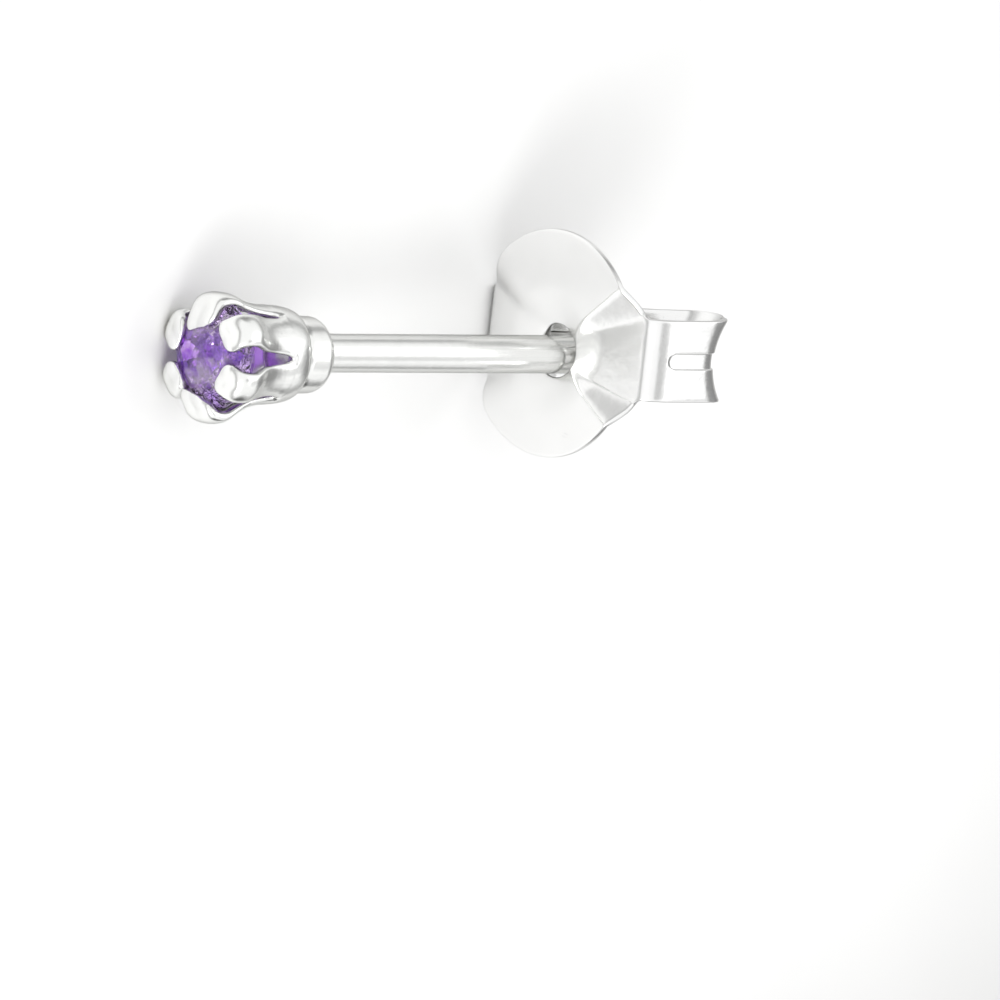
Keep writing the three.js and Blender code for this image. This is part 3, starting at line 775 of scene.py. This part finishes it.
def strip_column(side, share, gap):
    even = fold_out + wing_run * np.arange(0, STRIP_STEPS + 1) / STRIP_STEPS
    end = np.array(EDGE_STEPS[::-1]) * EDGE_ROUND
    distances = np.concatenate([even[even < blank_end - EDGE_ROOM * EDGE_ROUND], blank_end - end])
    edge = blank_edge(distances)
    up = share * edge if abs(share) < 1 else np.sign(share) * (edge - gap)
    from_side = np.maximum(edge - np.abs(up), 0)
    gaps = np.minimum(from_side, blank_end - distances)
    tail = np.column_stack([side * distances, up, gaps])
    return column_points(tail[0, :2], tail[1:], from_side[0])


def lobe_column(side, share):
    first = math.acos(fold_out / DISC_RADIUS)
    turn = first + share * (math.pi - 2 * first)
    out = side * DISC_RADIUS * math.cos(turn)
    up = side * float(blank_edge(np.array(abs(out))))
    return column_points((out, up), [], 0.0)


def blank_columns():
    """Columns all round the blank: near wing, upper lobe, far wing, lower lobe."""
    across = strip_columns()
    columns = []
    for side, places in ((1, across), (-1, across[::-1])):
        columns += [strip_column(side, share, gap) for share, gap in places]
        columns += [lobe_column(side, k / LOBE_COLUMNS) for k in range(1, LOBE_COLUMNS)]
    return columns


def clutch_form():
    columns = blank_columns()
    sizes = [len(column) for column in columns]
    starts = np.concatenate([[0], np.cumsum(sizes)])
    run, up, gap = np.vstack(columns).T
    face = folded(run, up)
    normal = outward(run, up)
    inside = np.clip(EDGE_ROUND - gap, 0, EDGE_ROUND)
    sag = EDGE_ROUND - np.sqrt(EDGE_ROUND ** 2 - inside ** 2)
    outer = face - normal * sag[:, None]
    inner = face - normal * (SHEET - sag)[:, None]
    total = len(outer)
    faces = []

    def quad(a, b, c, d):
        faces.append((a, d, c, b))

    count = len(columns)
    for j in range(count):
        a, b = starts[j], starts[(j + 1) % count]
        here, there = sizes[j], sizes[(j + 1) % count]
        shared = min(here, there)
        for i in range(shared - 1):
            quad(a + i, b + i, b + i + 1, a + i + 1)
            quad(total + a + i, total + a + i + 1, total + b + i + 1, total + b + i)
        quad(b, a, total + a, total + b)
        last = shared - 1
        quad(a + last, b + last, total + b + last, total + a + last)
        for i in range(last, here - 1):
            quad(a + i + 1, a + i, total + a + i, total + a + i + 1)
        for i in range(last, there - 1):
            quad(b + i, b + i + 1, total + b + i + 1, total + b + i)
    points = np.vstack([outer, inner]) + np.array([CLUTCH_AT, CLUTCH_RISE, 0])
    return points, faces


clutch = object_of("clutch_sheet", *clutch_form())
lay_down(clutch, "clutch", sheet_silver, "clutch")


# Floor: a painted pool of light, pale in an oval round the object, and light grey away from it

FLOOR_HALF = 0.4
FLOOR_PALE = [(NOISE_LOW, (0.93, 0.93, 0.925)), (NOISE_HIGH, (0.945, 0.945, 0.94))]
FLOOR_GREY = (0.55, 0.55, 0.545)
FLOOR_ROUGHNESS = 0.7
GRAIN_SCALE = 0.25
PALE_MIDDLE = (4.0, -2.4)
PALE_HALF = (18.0, 11.0)
PALE_END = 2.6  # the oval fades out to this many times its size


def pale_floor():
    material, make = new_material("pale_floor")
    place = in_millimetres(make)
    pale = ramp_of(make, noise(make, place, GRAIN_SCALE, detail=2.0), FLOOR_PALE)
    shrink = tuple(1 / half for half in PALE_HALF)
    shift = tuple(-middle * scale for middle, scale in zip(PALE_MIDDLE, shrink))
    oval = make("ShaderNodeMapping", {
        "Vector": place, "Location": (*shift, 0), "Scale": (*shrink, 1)}).outputs["Vector"]
    from_middle = make("ShaderNodeVectorMath", {0: oval}, operation="LENGTH").outputs["Value"]
    # Painted pool of light: pale in the oval, fading to grey away from the object
    light_pool_falloff = ranged(make, from_middle, 1.0, PALE_END, kind="SMOOTHSTEP")
    colour = mixed(make, light_pool_falloff, pale, (*FLOOR_GREY, 1))
    matt = make("ShaderNodeBsdfPrincipled", {"Base Color": colour, "Roughness": FLOOR_ROUGHNESS})
    make("ShaderNodeOutputMaterial", {"Surface": matt.outputs["BSDF"]})
    return material


corners = [(x * FLOOR_HALF, y * FLOOR_HALF, 0) for x, y in ((-1, -1), (1, -1), (1, 1), (-1, 1))]
floor = object_of("floor", corners, [(0, 1, 2, 3)])
floor.data.materials.append(pale_floor())


# Light: a white tent, greyer at the horizon, with soft darker and brighter patches

SKY_STRENGTH = 1.03
RING_END, TENT_START = 0.05, 0.32  # as the sine of the angle above the floor
TENT = 1.0
RING = 0.42
BRIGHT = 1.4
DARK = 0.1
GREY = 0.3
CARD = 0.5
STREAK = 0.78
# Columns: direction in the post's frame, cosines where the patch starts and is full, tone
PATCHES = [
    ((0.35, -1.0, 0.0), 0.87, 0.97, DARK),
    ((0.35, 1.0, 0.0), 0.88, 0.97, GREY),
    ((0.75, 0.0, 0.65), 0.8, 0.95, BRIGHT),
    ((0.24, -0.11, 0.965), 0.975, 0.997, CARD),
    ((1.0, -0.1, 0.22), 0.89, 0.97, GREY),
    ((0.7, -0.31, 0.64), 0.965, 0.995, STREAK),
]
KEY_DIRECTION = (-0.5, -0.55, 0.65)
KEY_DISTANCE, KEY_SIZE = 0.3, 0.14
KEY_RADIANCE = 5.0


def neutral(tone):
    return (tone, tone, tone)


def tent():
    world = bpy.data.worlds.new("tent")
    bpy.context.scene.world = world
    world.use_nodes = True
    make = node_maker(world.node_tree)
    way_out = make("ShaderNodeTexCoord").outputs["Generated"]
    height = make("ShaderNodeSeparateXYZ", {"Vector": way_out}).outputs["Z"]
    colour = ramp_of(make, height, [
        (0.0, neutral(RING)), (RING_END, neutral(RING)), (TENT_START, neutral(TENT))])
    for local, start, full, tone in PATCHES:
        dot = make("ShaderNodeVectorMath", {0: way_out, 1: tuple(direction(local))},
                   operation="DOT_PRODUCT")
        nearness = ranged(make, dot.outputs["Value"], start, full, kind="SMOOTHSTEP")
        colour = mixed(make, nearness, colour, (*neutral(tone), 1))
    sky = make("ShaderNodeBackground", {"Color": colour, "Strength": SKY_STRENGTH})
    make("ShaderNodeOutputWorld", {"Surface": sky.outputs["Background"]})


def softbox(name, local, distance, size, radiance):
    light = bpy.data.lights.new(name, "AREA")
    light.shape = "SQUARE"
    light.size = size
    light.energy = radiance * math.pi * size * size
    lamp = bpy.data.objects.new(name, light)
    bpy.context.scene.collection.objects.link(lamp)
    toward = direction(local)
    lamp.location = toward * distance
    lamp.rotation_mode = "QUATERNION"
    lamp.rotation_quaternion = toward.to_track_quat("Z", "Y")


tent()
softbox("key", KEY_DIRECTION, KEY_DISTANCE, KEY_SIZE, KEY_RADIANCE)


# Camera: the photograph's angle, with the post level in the picture

PICTURE_WIDTH = 22.8
LENS, SENSOR = 1000.0, 36.0
AIM_AT = (CLUTCH_AT, 0.0, 0.0)
AIM_RIGHT, AIM_UP = -1.0876, -3.324
TO_CAMERA = (-0.701, 0.112, 0.704)
PICTURE_RIGHT = (0.713, 0.11, 0.69)

back = direction(TO_CAMERA)
right = direction(PICTURE_RIGHT)
right = (right - back * right.dot(back)).normalized()
above = back.cross(right)
camera_data = bpy.data.cameras.new("camera")
camera_data.lens, camera_data.sensor_width = LENS, SENSOR
camera_data.clip_start, camera_data.clip_end = 0.01, 5.0
camera = bpy.data.objects.new("camera", camera_data)
bpy.context.scene.collection.objects.link(camera)
aim = Vector(to_row(AIM_AT)) + (right * AIM_RIGHT + above * AIM_UP) * MM
distance = PICTURE_WIDTH * MM * LENS / SENSOR
camera.matrix_world = Matrix.Translation(aim + back * distance) @ Matrix(
    (right, above, back)).transposed().to_4x4()
bpy.context.scene.camera = camera
bpy.context.scene.view_settings.view_transform = "Standard"
